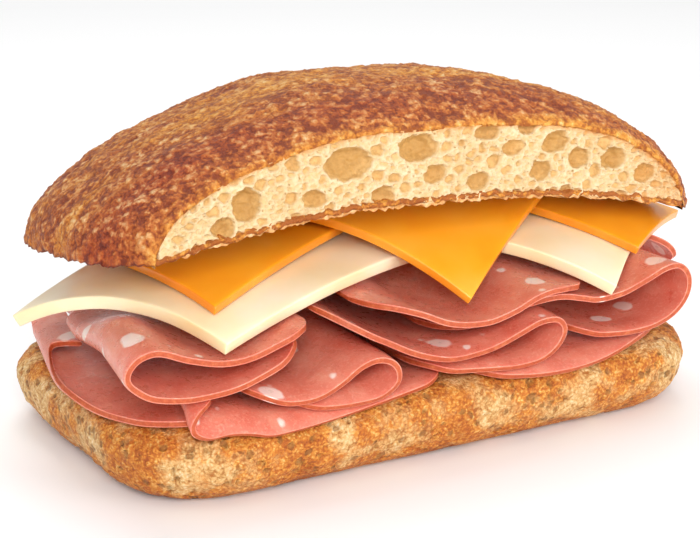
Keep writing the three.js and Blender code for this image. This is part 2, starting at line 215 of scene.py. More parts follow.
def toasted_heel():
    """Ciabatta heel: thin toasted crust torn open to the crumb in places, floured on the
    ends. Golden brown and cream mottling with small open pores."""
    material, tree, bsdf = start("toasted ciabatta heel", Roughness=0.6, IOR=1.45)
    place = add(tree, "TexCoord", out="Object")
    bake, pit = (add(tree, "Attribute", out="Fac", attribute_name=name) for name in ("bake", "cell"))
    bent = ripple(tree, place, 520.0, 0.0016)
    # patches 10 mm, grain 0.8 mm, flakes 0.7 mm, roughness 2.4 mm, pores 2.4 mm apart
    patch = add(tree, "TexNoise", {"Vector": bent, "Scale": 105.0, "Detail": 6.0, "Roughness": 0.7})
    fine = add(tree, "TexNoise", {"Vector": place, "Scale": 1300.0, "Detail": 4.0, "Roughness": 0.7})
    flake = add(tree, "TexVoronoi", {"Vector": bent, "Scale": 1350.0})
    rough = add(tree, "TexNoise", {"Vector": bent, "Scale": 420.0, "Detail": 5.0, "Roughness": 0.7})
    pores = add(tree, "TexVoronoi", {"Vector": bent, "Scale": 420.0})
    grit = add(tree, "MapRange", [flake, 0.75, 0.1, 0.0, 0.34])
    for source, low_end, low, high in ((fine, 0.3, -0.02, 0.3), (rough, 0.35, -0.04, 0.4)):
        share = add(tree, "MapRange", [source, low_end, 1 - low_end, low, high])
        grit = add(tree, "Math", [grit, share], operation="ADD")
    golden = add(tree, "ValToRGB", [grit], stops=[
        (0.12, "#984610"), (0.38, "#c26c1e"), (0.6, "#dc9238"), (0.88, "#f6cb7e")])
    creamy = add(tree, "ValToRGB", [grit], stops=[
        (0.12, "#ac692a"), (0.38, "#d9a764"), (0.6, "#ebc78e"), (0.88, "#f9e5bf")])
    torn = add(tree, "Math", [patch, bake], operation="ADD")
    crusty = add(tree, "MapRange", [torn, 0.42, 0.54, 0.0, 1.0])
    base = add(tree, "Mix", {"Factor": crusty, "A": creamy, "B": golden}, **COLOURS)
    scorched = add(tree, "MapRange", [torn, 0.6, 0.85, 0.0, 0.75])
    burnt = add(tree, "Mix", {"Factor": scorched, "A": base, "B": "#94430f"}, **COLOURS)
    # pores and the pits of the mesh are darkened: painted shade inside the holes
    picks = add(tree, "SeparateColor", [pores.node.outputs["Color"]])
    chosen = add(tree, "Math", [picks, 0.62], operation="GREATER_THAN")
    middle = add(tree, "MapRange", [pores, 0.42, 0.2, 0.0, 1.0])
    open_pore = add(tree, "Math", [middle, chosen], operation="MULTIPLY")
    shaded = add(tree, "Math", [open_pore, 0.75], operation="MULTIPLY")
    holed = add(tree, "Mix", {"Factor": shaded, "A": burnt, "B": "#93602a"}, **COLOURS)
    pit_shade = add(tree, "MapRange", [pit, 0.1, 0.9, 0.0, 0.8])
    deep = add(tree, "Mix", {"Factor": pit_shade, "A": holed, "B": "#9a6930"}, **COLOURS)
    low = add(tree, "Bump", {"Height": open_pore, "Strength": 0.6, "Distance": -0.0008})
    mid = add(tree, "Bump", {"Height": grit, "Normal": low, "Strength": 0.75, "Distance": 0.0005})
    bump = add(tree, "Bump", {"Height": fine, "Normal": mid, "Strength": 0.6, "Distance": 0.0004})
    return wear(material, tree, bsdf, deep, bump)


def mortadella(name, spots):
    """Mortadella: cooked, finely ground cured pork, sliced cold. Moist and satin, salmon
    pink with sub-millimetre grain, white cubes of back fat cut across."""
    material, tree, bsdf = start(name, Roughness=0.36, IOR=1.42, Subsurface_Weight=0.3,
                                 Subsurface_Scale=0.004, Subsurface_Radius=(1.0, 0.3, 0.2),
                                 Coat_Weight=0.25, Coat_Roughness=0.25)
    place = add(tree, "TexCoord", out="Object")
    flat = add(tree, "UVMap", uv_map="slice")
    # grain 0.7 mm, clouds 8 mm, small fat flecks 7 mm apart
    grain = add(tree, "TexNoise", {"Vector": place, "Scale": 1500.0, "Detail": 4.0, "Roughness": 0.7})
    cloud = add(tree, "TexNoise", {"Vector": flat, "Scale": 120.0, "Detail": 3.0})
    meat = add(tree, "ValToRGB", [cloud], stops=[(0.25, "#cf6650"), (0.5, "#da7c66"), (0.8, "#e7987f")])
    speckle = add(tree, "MapRange", [grain, 0.5, 0.75, 0.0, 0.45])
    grained = add(tree, "Mix", {"Factor": speckle, "A": meat, "B": "#f5c3ab"}, **COLOURS)
    wobble = add(tree, "TexNoise", {"Vector": flat, "Scale": 260.0, "Detail": 2.0}, "Color")
    wobble = add(tree, "VectorMath", {"Vector": wobble, "Scale": FAT_WOBBLE}, operation="SCALE")
    bent = add(tree, "VectorMath", [flat, wobble], operation="ADD")
    fleck = add(tree, "TexVoronoi", {"Vector": bent, "Scale": 150.0})
    chosen = add(tree, "SeparateColor", [fleck.node.outputs["Color"]])
    pick = add(tree, "Math", [chosen, 0.9], operation="GREATER_THAN")
    near = add(tree, "MapRange", [fleck, 0.2, 0.12, 0.0, 1.0])
    fat = add(tree, "Math", [near, pick], operation="MULTIPLY")
    for s, y, wide, tall in spots:
        centre = (s * MM + FAT_WOBBLE / 2, y * MM + FAT_WOBBLE / 2, 0)
        gap = add(tree, "VectorMath", [bent, centre], operation="SUBTRACT")
        oval = add(tree, "VectorMath", [gap, (wide * MM, tall * MM, 1)], operation="DIVIDE")
        size = add(tree, "VectorMath", [oval], "Value", operation="LENGTH")
        disc = add(tree, "MapRange", [size, 1.1, 0.85, 0.0, 1.0])
        fat = add(tree, "Math", [fat, disc], operation="MAXIMUM")
    fat = add(tree, "Math", [fat, 0.85], operation="MULTIPLY")
    spotted = add(tree, "Mix", {"Factor": fat, "A": grained, "B": "#f7e4da"}, **COLOURS)
    wet = add(tree, "TexNoise", {"Vector": place, "Scale": 380.0, "Detail": 4.0, "Roughness": 0.6})
    tree.links.new(add(tree, "MapRange", [wet, 0.35, 0.65, 0.22, 0.5]), bsdf.inputs["Roughness"])
    low = add(tree, "Bump", {"Height": wet, "Strength": 0.2, "Distance": 0.0005})
    bump = add(tree, "Bump", {"Height": grain, "Normal": low, "Strength": 0.35, "Distance": 0.0003})
    tree.links.new(bump, bsdf.inputs["Coat Normal"])
    return wear(material, tree, bsdf, spotted, bump)


def mortadella_edge():
    """The rim of a mortadella slice: cooked skin side, a little drier and more orange."""
    material, tree, bsdf = start("mortadella rim", Roughness=0.5, IOR=1.42, Subsurface_Weight=0.1,
                                 Subsurface_Scale=0.0015, Subsurface_Radius=(1.0, 0.35, 0.2))
    place = add(tree, "TexCoord", out="Object")
    grain = add(tree, "TexNoise", {"Vector": place, "Scale": 900.0, "Detail": 4.0, "Roughness": 0.7})
    tone = add(tree, "ValToRGB", [grain], stops=[(0.3, "#a5401f"), (0.55, "#b9552f"), (0.8, "#cf7a4c")])
    bump = add(tree, "Bump", {"Height": grain, "Strength": 0.3, "Distance": 0.0003})
    return wear(material, tree, bsdf, tone, bump)


def sliced_cheese(name, body, shade, pale):
    """Processed cheese slice: cast and cut, dense and waxy. Even colour, satin face,
    faint clouding 20 mm wide and a 1 mm surface ripple."""
    material, tree, bsdf = start(name, Roughness=0.34, IOR=1.45, Subsurface_Weight=0.25,
                                 Subsurface_Scale=0.004, Subsurface_Radius=(1.0, 0.7, 0.35),
                                 Coat_Weight=0.3, Coat_Roughness=0.15)
    place = add(tree, "TexCoord", out="Object")
    cloud = add(tree, "TexNoise", {"Vector": place, "Scale": 45.0, "Detail": 3.0})
    grain = add(tree, "TexNoise", {"Vector": place, "Scale": 1100.0, "Detail": 3.0})
    tone = add(tree, "ValToRGB", [cloud], stops=[(0.3, shade), (0.5, body), (0.75, pale)])
    bump = add(tree, "Bump", {"Height": grain, "Strength": 0.12, "Distance": 0.0002})
    return wear(material, tree, bsdf, tone, bump)


# ---------------------------------------------------------------- crown

CROWN_X, CROWN_LONG, CROWN_RISE = 0.1, 77.5, 27.3      # centre, half length and rise, mm
ROUND = 2.2                  # power of the dome's section
FACE_Y = -36.0               # plane of the cut face
CRUMB_RECESS = 4.5           # how deep the crust goes in behind the crumb, mm
CRUMB_THICK = 4.2            # of the crumb piece


def crown_side(y):
    """Outline power and half width: squarer toward the cut face than at the back."""
    return (4.0, 45.0) if y < 0 else (2.6, 46.0)


def crown_reach(a, b):
    """Plan outline of the crown in the direction (a, b) of the unit square."""
    power, reach = crown_side(b)
    scale = (abs(a) ** power + abs(b) ** power) ** (-1 / power)
    return CROWN_LONG * scale * a, reach * scale * b


def crown_level(x, y):
    """Height of the crown's lower rim, arched along the loaf and tipped back."""
    tip = 0.13 - 0.0005 * (x + 76)
    droop = 0.8 * smooth((x + 25) / 25)
    return 58.4 - 0.00155 * (max(x, -66) + 10) ** 2 - droop - tip * (y - FACE_Y)


def crown_closing(x, y):
    """How far the back half of the rim comes down."""
    return 0.0028 * max(0.0, y) ** 2 * clamp(1.25 - abs(x) / 80)


def crown_under(x, y):
    """Height of the hollow underside."""
    hollow = 3.5 * clamp(1 - (x / 70) ** 2) * clamp(1 - ((y - 2) / 42) ** 2)
    return crown_level(x, y) - crown_closing(x, y) + hollow


def crown_height(x, part):
    """Rise of the dome over the rim, at this part of the way out to the outline."""
    rise = CROWN_RISE * (1 - 0.06 * math.exp(-(((x + 46) / 20) ** 2)))
    return rise * max(0.0, 1 - part ** ROUND) ** (1 / ROUND)


def crown_part(x, y):
    """The part of the way out to the outline: 0 in the middle, 1 on it."""
    power, reach = crown_side(y)
    return (abs((x - CROWN_X) / CROWN_LONG) ** power + abs(y / reach) ** power) ** (1 / power)


def boundary_of(grown):
    """The open edges of an extrusion, and their vertices."""
    edges = [e for e in grown["geom"] if isinstance(e, bmesh.types.BMEdge) and e.is_boundary]
    return edges, {v for e in edges for v in e.verts}


def crown_above(x, y, z):
    """Height over the lower rim."""
    return z - crown_level(x, y) + crown_closing(x, y)


def crown_crust(crumb):
    """The crown's crust: dome, hollow underside and cut-off front, with its baked relief."""
    bm = bmesh.new()
    bmesh.ops.create_grid(bm, x_segments=330, y_segments=186, size=1)
    bake, flour, gold, crag, toast = (bm.verts.layers.float.new(layer)
                                      for layer in ("bake", "flour", "gold", "crag", "toast"))
    for v in bm.verts:
        u, w = v.co.x, v.co.y
        t = max(abs(u), abs(w), 1e-6)
        part = math.sin(t * math.pi / 2) ** (2 / ROUND)
        rx, ry = crown_reach(u / t, w / t)
        x, y = CROWN_X + rx * part, ry * part
        z = crown_level(x, y) - crown_closing(x, y) * part ** 4 + crown_height(x, part)
        v.co = at(x, y, z)
    rim = [e for e in bm.edges if e.is_boundary]
    for part in (0.93, 0.8, 0.6, 0.4, 0.2):
        rim, corners = boundary_of(bmesh.ops.extrude_edge_only(bm, edges=rim))
        for v in corners:
            x, y = v.co.x / MM, v.co.y / MM - SHIFT_Y
            whole = crown_part(x, y)
            x, y = CROWN_X + (x - CROWN_X) * part / whole, y * part / whole
            v.co = at(x, y, crown_under(x, y))
    bmesh.ops.edgeloop_fill(bm, edges=rim)
    bmesh.ops.bisect_plane(bm, geom=bm.verts[:] + bm.edges[:] + bm.faces[:], dist=1e-7,
                           plane_co=at(0, FACE_Y, 0), plane_no=(0, -1, 0), clear_outer=True)
    bm.normal_update()
    # crust relief: blisters of 4 to 10 mm, nodules of 1.5 to 2 mm, a ragged lower lip
    for v in bm.verts:
        p = v.co
        x, y, z = p.x / MM, p.y / MM - SHIFT_Y, p.z / MM
        above = crown_above(x, y, z)
        n = v.normal.copy()
        left = smooth((-x - 35) / 30)
        q = Vector((x, y * 1.15, z))
        if above > -0.5 and n.z > -0.3:
            big = noise.noise(q / 11) * 0.6 + noise.noise(q / 4.6 + Vector((7, 3, 1))) * 0.45
            creased = q / 1.75 + noise.noise_vector(q / 1.4) * 0.35
            cells = noise.voronoi(creased)[0]
            top = clamp(1.15 - cells[0] * 1.35) - 0.4 + 0.35 * noise.noise(q / 0.9)
            v.co = p + n * (big + top * 0.5) * MM * smooth(above / 2 + 0.4)
            v[crag] = clamp(top + 0.5)
        if above < 1.6:
            lip = noise.noise(Vector((x / 1.3, y / 1.3, 4))) * 0.8
            lip += noise.noise(Vector((x / 4, y / 4, 9))) * 0.8
            v.co.z += lip * MM * smooth(1 - abs(above) / 1.6)
        v[toast] = 0.8 * smooth((crown_part(x, y) - 0.86) / 0.1)
        # golden streaks along the loaf, a dark band over the cut face, flour in patches
        streak = noise.noise(Vector((x / 26 + y / 50, y / 5.5 + x / 45, 2.5))) + 0.5 * noise.noise(q / 5)
        front = smooth((y + 36) / 2.5)
        band = math.exp(-((y + 27.5 + 0.03 * x) / 6.5) ** 2)
        v[gold] = clamp(0.38 + streak * 1.5 + 0.35 * smooth((x - 5) / 45) + 0.9 * (1 - front)
                        + 0.35 * smooth((6 - above) / 6) - 0.6 * band - 0.35 * left)
        v[bake] = front * clamp(0.7 * band * (1 - 0.5 * smooth((x - 20) / 30)) + 0.14 * left
                                + 0.3 * noise.noise(q / 13) + 0.25 * smooth((7 - above) / 7) * left)
        powder = clamp(0.5 + noise.noise(q / 9) - 0.25 * smooth((x - 10) / 50) + 0.2 * left)
        v[flour] = powder * smooth((above - 2) / 6) * front * 0.75
    # the crust turns in round the cut face, and back to where the crumb sits
    loop = [e for e in bm.edges if e.is_boundary]
    for depth, pull in ((0.0, 1.1), (CRUMB_RECESS, 0.4)):
        loop, corners = boundary_of(bmesh.ops.extrude_edge_only(bm, edges=loop))
        for v in corners:
            x, z = v.co.x / MM, v.co.z / MM
            middle = crown_level(x, FACE_Y) + crown_height(x, min(crown_part(x, FACE_Y), 1.0)) * 0.45
            inward = pull if z < middle else -pull
            v.co = Vector((v.co.x * (1 - 0.004 * pull), v.co.y + depth * MM, (z + inward) * MM))
            v[gold], v[bake], v[flour], v[toast] = 1.0, 0.0, 0.0, 0.75
    bmesh.ops.triangle_fill(bm, edges=loop, use_beauty=False)
    bmesh.ops.recalc_face_normals(bm, faces=bm.faces[:])
    for face in bm.faces:
        x, y, z = face.calc_center_median() / MM
        y -= SHIFT_Y
        under = face.normal.z < -0.3 and crown_above(x, y, z) < 3.6 and crown_part(x, y) < 0.93
        face.material_index = 1 if under else 0
    return finish(bm, "crown_crust", ["bread_crown"], [baked_crust(), crumb])


# bubbles of the cut face: X, Z, half width, half height in mm
BUBBLES = [
    (-22.7, 69.1, 5.9, 3.7), (-5.4, 70.5, 5.1, 3.1), (-46.6, 63.3, 3.4, 3.7), (-52.1, 59, 2.9, 2.2),
    (-30.9, 62.4, 2.8, 2.1), (-1.1, 64.3, 3, 2.1), (-14.1, 61.1, 3, 2.1), (12.2, 72, 3.3, 2.1),
    (23.1, 72.3, 2.9, 1.9), (30.8, 67.8, 3.6, 2.4), (37.4, 63.4, 3, 2.3), (47, 62.2, 3.6, 2.6),
    (26.7, 61.6, 3.1, 2.3), (56.1, 57.6, 3, 2.3), (10.1, 61.2, 2.9, 2.1), (19.2, 67.7, 3, 2),
]
CRUMB_LEFT, CRUMB_RIGHT = -66.6, 68.0      # ends of the crumb face along X, mm
HOLES, MIDDLING = 900, 110                 # bubbles wanted; those up to here are middling


def crumb_span(x):
    """Lower and upper edge of the cut face."""
    low = crown_level(x, FACE_Y)
    return low, low + crown_height(x, min(crown_part(x, FACE_Y), 1.0))


def crumb_face(crumb):
    """The crumb of the cut face, with its bubbles pressed in."""
    bm = bmesh.new()
    bmesh.ops.create_grid(bm, x_segments=430, y_segments=72, size=1)
    cell, toast = (bm.verts.layers.float.new(layer) for layer in ("cell", "toast"))
    for v in bm.verts:
        u, w = (v.co.x + 1) / 2, (v.co.y + 1) / 2
        x = CRUMB_LEFT + (CRUMB_RIGHT - CRUMB_LEFT) * u
        low, high = crumb_span(x)
        high -= 0.9
        v.co = Vector((x, FACE_Y, low + (max(high, low + 0.3) - low) * w))
    bm.verts.ensure_lookup_table()
    place = np.array([v.co[:] for v in bm.verts])
    x, z = place[:, 0], place[:, 2]
    wob = np.array([noise.noise_vector(Vector((a / 2.4, b / 2.4, 0)))[:2] for a, b in zip(x, z)])
    wob += 0.4 * np.array([noise.noise_vector(Vector((a / 0.8, b / 0.8, 5)))[:2] for a, b in zip(x, z)])
    wx, wz = x + wob[:, 0] * 0.8, z + wob[:, 1] * 0.65
    rng = random.Random(11)
    holes = [(*b, 0.95) for b in BUBBLES]
    for _ in range(90000):
        if len(holes) >= HOLES:
            break
        hx = rng.uniform(CRUMB_LEFT + 3, CRUMB_RIGHT - 2)
        low, top = crumb_span(hx)
        top -= 1.4
        hz = rng.uniform(low + 0.4, max(top, low + 0.5))
        wide = 0.4 + rng.random() ** 2.2 if len(holes) > MIDDLING else rng.uniform(0.9, 1.8)
        tall = wide * rng.uniform(0.6, 0.95)
        if hz + tall > top + 0.6:
            continue
        if any(((hx - a) / (wide + w + 0.12)) ** 2 + ((hz - b) / (tall + h + 0.12)) ** 2 < 1
               for a, b, w, h, _ in holes):
            continue
        holes.append((hx, hz, wide, tall, 0.8))
    depth = np.zeros(len(x))
    lip = np.zeros(len(x))
    for hx, hz, w, h, deep in holes:
        r = np.sqrt(((wx - hx) / w) ** 2 + ((wz - hz) / h) ** 2)
        inside = np.clip(1 - r ** 2.6, 0, 1) ** 0.55
        depth = np.maximum(depth, inside * min(2.9, deep * 1.3 * h ** 0.85))
        lip = np.maximum(lip, np.exp(-((r - 1.12) / 0.13) ** 2) * 0.16)
    for i, v in enumerate(bm.verts):
        px, pz = x[i], z[i]
        q = Vector((px, pz, 0))
        part = min(crown_part(px, FACE_Y), 1.0)
        low = crown_level(px, FACE_Y)
        high = low + max(crown_height(px, part) - 0.9, 0.3)
        rough = noise.noise(q / 0.7) * 0.2 + noise.noise(q / 1.6) * 0.3 + noise.noise(q / 9) * 0.3
        bottom, ceiling = pz - low, high - pz
        ragged = noise.noise(Vector((px / 1.3, 0, 5))) * 0.7 + noise.noise(Vector((px / 4.5, 0, 8))) * 0.8
        v.co = at(px, FACE_Y + depth[i] + rough - lip[i] + 0.25, pz - ragged * smooth(1 - bottom / 1.5))
        v[cell] = clamp(depth[i] / 2.4)
        v[toast] = clamp(0.75 * smooth(1 - bottom / 1.5 + noise.noise(q / 1.6) * 0.7)
                         + 0.6 * smooth(1 - ceiling / 1.2 + noise.noise(q / 2) * 0.4)
                         + 0.3 * smooth((px - 45) / 22))
    rim = [e for e in bm.edges if e.is_boundary]
    back, corners = boundary_of(bmesh.ops.extrude_edge_only(bm, edges=rim))
    for v in corners:
        v.co.y = (FACE_Y + CRUMB_THICK + SHIFT_Y) * MM
    bmesh.ops.triangle_fill(bm, edges=back, use_beauty=False)
    bmesh.ops.recalc_face_normals(bm, faces=bm.faces[:])
    return finish(bm, "crown_crumb", ["bread_crown"], [crumb])


# ---------------------------------------------------------------- heel

HEEL_LONG, HEEL_WIDE, HEEL_CORNER, HEEL_TOP = 76.0, 44.7, 24.0, 18.0
# the side's section, as height and how far in from the outline, mm
HEEL_SECTION = [(0, 10.6), (0.7, 7.3), (3, 3.9), (6.5, 1.2), (11, 0), (14, 0.3), (16.1, 1.9),
                (17.4, 4.2), (18, 6.8)]
HEEL_AROUND, HEEL_RINGS = 720, 48
HEEL_TOP_INSETS = (7.6, 8.6, 9.8, 11.4, 13.5, 16.5, 20.0)


def heel():
    """The bottom half: rings of the section swept round a rounded rectangle."""
    bm = bmesh.new()
    bake, cell = (bm.verts.layers.float.new(layer) for layer in ("bake", "cell"))

    def outline(t, inset):
        cx = math.copysign(HEEL_LONG - HEEL_CORNER, math.cos(t))
        cy = math.copysign(HEEL_WIDE - HEEL_CORNER, math.sin(t))
        return cx + (HEEL_CORNER - inset) * math.cos(t), cy + (HEEL_CORNER - inset) * math.sin(t)

    # even steps along the outline: the straight sides get their share of points
    corner = HEEL_CORNER * math.pi / 2
    sides = [2 * (HEEL_WIDE - HEEL_CORNER), corner, 2 * (HEEL_LONG - HEEL_CORNER), corner] * 2
    total = sum(sides)

    def along(step, inset):
        d = step / HEEL_AROUND * total
        k = 0
        while d > sides[k]:
            d -= sides[k]
            k += 1
        quarter, part = k // 2, d / sides[k]
        if k % 2:
            return outline((quarter + part) * math.pi / 2 + 1e-6 * (0.5 - part), inset)
        angle = quarter * math.pi / 2
        a, b = outline(angle - 1e-6, inset), outline(angle + 1e-6, inset)
        return a[0] + (b[0] - a[0]) * part, a[1] + (b[1] - a[1]) * part

    path = [0.0]
    for (z0, i0), (z1, i1) in zip(HEEL_SECTION, HEEL_SECTION[1:]):
        path.append(path[-1] + math.hypot(z1 - z0, i1 - i0))
    rings = []
    for k in range(HEEL_RINGS):
        d = path[-1] * k / (HEEL_RINGS - 1)
        j = max(i for i in range(len(path) - 1) if path[i] <= d + 1e-9)
        f = (d - path[j]) / (path[j + 1] - path[j])
        (z0, i0), (z1, i1) = HEEL_SECTION[j], HEEL_SECTION[j + 1]
        rings.append((z0 + (z1 - z0) * f, i0 + (i1 - i0) * f))
    rings += [(HEEL_TOP, inset) for inset in HEEL_TOP_INSETS]
    bmesh.ops.create_circle(bm, segments=HEEL_AROUND, radius=1)
    bm.verts.ensure_lookup_table()
    order = sorted(bm.verts, key=lambda v: math.atan2(v.co.y, v.co.x) % (2 * math.pi))
    for i, v in enumerate(order):
        x, y = along(i, rings[0][1])
        v.co = Vector((x, y, rings[0][0]))
    ring = bm.edges[:]
    bottom = bm.edges[:]
    rank = {v: i for i, v in enumerate(order)}
    for z, inset in rings[1:]:
        grown = bmesh.ops.extrude_edge_only(bm, edges=ring)["geom"]
        ring = [e for e in grown
                if isinstance(e, bmesh.types.BMEdge) and all(v not in rank for v in e.verts)]
        fresh = {}
        for v in {v for e in ring for v in e.verts}:
            below = next(e.other_vert(v) for e in v.link_edges if e.other_vert(v) in rank)
            fresh[v] = rank[below]
        for v, i in fresh.items():
            x, y = along(i, inset)
            v.co = Vector((x, y, z))
        rank = fresh
    bmesh.ops.edgeloop_fill(bm, edges=ring)
    bmesh.ops.edgeloop_fill(bm, edges=bottom)
    bm.normal_update()
    bmesh.ops.recalc_face_normals(bm, faces=bm.faces[:])
    bm.normal_update()
    # lumps of 1 to 13 mm, pits of 1 to 2 mm on the front, a flat underside
    for v in bm.verts:
        x, y, z = v.co
        n = v.normal.copy()
        q = Vector((x, y, z))
        front = smooth((-y - 30) / 8)
        lumps = noise.noise(q / 13) * 0.7 + noise.noise(q / 5) * 0.4
        lumps = lumps + noise.noise(q / 1.8) * 0.3 + noise.noise(q / 0.9) * 0.15
        cells = noise.voronoi(q / 2.6 + noise.noise_vector(q / 4) * 0.6)[0]
        pick = noise.noise(q / 7 + Vector((3, 8, 2)))
        pit = smooth((0.4 - cells[0]) / 0.25) * smooth(pick * 2.2 + 0.35) * (0.35 + 0.65 * front)
        side = smooth(z / 3) if z < HEEL_TOP - 0.01 else 0.4
        v.co = at(*(q + n * (lumps * side - pit * 0.9 - 0.35)))
        if z < 0.2:
            v.co.z = 0
        v[cell] = pit
        end = smooth((abs(x) - 62) / 10) * (1 - front)
        low = smooth((6 - z) / 6)
        left = smooth((-x - 40) / 25)
        brown = noise.noise(q / 14 + Vector((1, 5, 9))) * 0.16 - 0.05 * smooth((x - 25) / 25) * front
        run = noise.noise(Vector((x / 4, y / 4, z / 14)))
        v[bake] = (0.02 + brown + 0.3 * low * (1 - 0.5 * front) - 0.06 * end * left
                   - 0.1 * run * (1 - front))
    return finish(bm, "heel_crust", ["bread_heel"], [toasted_heel()])


# ---------------------------------------------------------------- mortadella

THICK = 1.4                  # of a slice, mm
CORNER = 9.0                 # radius at a slice's ends
BED = 19.3                   # height at which the lowest slices lie
# curve in X and Z, half width, centre Y, outline power, widest point, half length, sags,
# fat spots as (mm along the slice, Y, half width, half height)
SLICES = {
    "mortadella_bed_right": dict(
        curve=[(4.2, 19.3), (30, 19.3), (60, 19.3), (72, 19.3), (77, 18.8)],
        reach=45.5, y=0, power=2.1, middle=(27.5, 19.3), half=50, spots=[(34, -30, 2, 1.6)]),
    "mortadella_bed_left": dict(
        curve=[(1.5, 19.3), (-20, 19.3), (-42, 19.3), (-47, 19.6), (-51, 20.9), (-56, 21.75),
               (-61.5, 21.8), (-64.9, 23.3), (-63, 24.8), (-57.5, 24.9)],
        reach=45.6, y=0, power=2.2, middle=(-61.5, 21.8), half=122, lean=(0.35, -44, 24),
        spots=[(30, -40, 1.4, 1.2)]),
    "mortadella_left_end": dict(
        curve=[(-55, 19.3), (-64, 19.3), (-71, 19.1), (-75.8, 19.3), (-78, 21.2), (-77.2, 23.6),
               (-73.5, 24.5), (-69.5, 24.2)],
        reach=38.5, y=-1, power=2, middle=(-55, 19.3), half=27, end=13, lean=(0.25, -6, 40),
        drift=[(16, 0), (22, 6), (24, 12), (27, 28), (33, 24), (37, 21)],
        spots=[(32.5, 14, 3.4, 2.6)]),
    "mortadella_fold_centre_left": dict(
        curve=[(-43, 21.9), (-36, 21.75), (-27, 21.9), (-20, 22.6), (-16.2, 24.8), (-16.8, 27.3), (-20.6, 29),
               (-25, 28.6), (-30, 26.4), (-36, 24.4), (-42, 24.2), (-47, 24.8), (-51.5, 25.6)],
        reach=46.5, y=0, power=3.2, middle=(-20.8, 28.5), half=56, spots=[(60.1, -42.3, 2.4, 2.6)]),
    "mortadella_fold_left": dict(
        curve=[(-36, 34.5), (-39.5, 32.2), (-44, 30.2), (-50, 28.6), (-57, 27.7), (-66, 27.9), (-74, 29.6),
               (-78.4, 33.6), (-76.8, 36.9), (-72.3, 38.2), (-64.5, 35.4), (-57.5, 33.5), (-49.5, 33.7),
               (-42, 36), (-37.5, 36.9), (-34, 36.7)],
        reach=28.5, y=-16.5, power=3.5, middle=(-70, 38), half=82, lean=(0.19, -44, 56),
        sag=[(-69, 17, 31, 4.6), (-40, 14, 28, 4)],
        spots=[(52.2, -35.5, 2.2, 3.2), (71.9, -21.5, 2.4, 3.0), (47.6, -8, 2, 2.6)]),
    "mortadella_fold_centre": dict(
        curve=[(-8, 22.8), (0, 21.8), (8, 21.75), (17, 21.75), (22.5, 22.6), (26.6, 25), (28.1, 27.7),
               (26.4, 29.8), (22, 30.1), (16.5, 28.6), (11, 27), (4, 25.9), (-4, 26.2), (-12, 28.5),
               (-20, 32.2), (-26, 35.6), (-30.5, 37.9)],
        reach=45.3, y=0, power=3.5, middle=(16.5, 28.4), half=70, sag=[(20, 13, 27, 3.4)],
        spots=[(69.7, -38.2, 2.6, 2.6), (92, -35, 1.3, 1.2)]),
    "mortadella_fold_right": dict(
        curve=[(33.5, 24.2), (42, 22.8), (53, 22.8), (61.3, 25), (65.3, 29.2), (65.4, 33), (62.8, 35.8),
               (58.5, 35.8), (52.7, 33.8), (46.5, 31.8), (40, 31.2), (35, 32.2), (29, 33.4), (24, 33.3),
               (18, 32), (12, 30), (5, 28.7), (-1, 28.6)],
        reach=42.5, y=0, power=3, middle=(65, 36), half=88, sag=[(55, 18, 30, 6.5)],
        spots=[(13.2, -33.6, 2.6, 2.4), (22.7, -30.1, 2.0, 2.6), (45.5, -37.3, 2.4, 2.2)]),
    "mortadella_right_end": dict(
        curve=[(46, 35.6), (51.5, 36.4), (57, 37.6), (62.5, 38.1), (68.5, 37.4), (73.5, 35.2), (77, 31),
               (77.6, 28.6)],
        reach=26, y=10, power=2.4, middle=(63, 38.1), half=26, drift=[(16, 0), (34, -14)],
        spots=[(26, -13, 3.2, 3.6), (31, -19, 2.2, 2.4)]),
    "mortadella_top": dict(
        curve=[(-21, 38.2), (-15, 37.8), (-10, 36.4), (-3, 33.4), (6.3, 31.9), (14.4, 33.4), (19.7, 35.4),
               (24.5, 36.3), (29, 35.85), (34, 34.9), (40, 33.6)],
        reach=45.5, y=0, power=3, middle=(8, 32), half=44, sag=[(-15, 9, 34, 3.6), (6, 12, 31, 0.8)],
        spots=[(47.3, -37.6, 2.0, 2.4)]),
}


def bend(points, steps=24):
    """Dense centripetal Catmull-Rom line through the points, with its length at each."""
    p = [np.array(q, float) for q in points]
    p = [2 * p[0] - p[1]] + p + [2 * p[-1] - p[-2]]
    line = []
    for a, b, c, d in zip(p, p[1:], p[2:], p[3:]):
        t1 = np.linalg.norm(b - a) ** 0.5
        t2 = t1 + np.linalg.norm(c - b) ** 0.5
        t3 = t2 + np.linalg.norm(d - c) ** 0.5
        for t in np.linspace(t1, t2, steps, endpoint=False):
            u = (t1 - t) / t1 * a + t / t1 * b
            v = (t2 - t) / (t2 - t1) * b + (t - t1) / (t2 - t1) * c
            w = (t3 - t) / (t3 - t2) * c + (t - t2) / (t3 - t2) * d
            s = (t2 - t) / t2 * u + t / t2 * v
            r = (t3 - t) / (t3 - t1) * v + (t - t1) / (t3 - t1) * w
            line.append((t2 - t) / (t2 - t1) * s + (t - t1) / (t2 - t1) * r)
    line.append(p[-2])
    line = np.array(line)
    length = np.concatenate([[0], np.cumsum(np.linalg.norm(np.diff(line, axis=0), axis=1))])
    return line, length


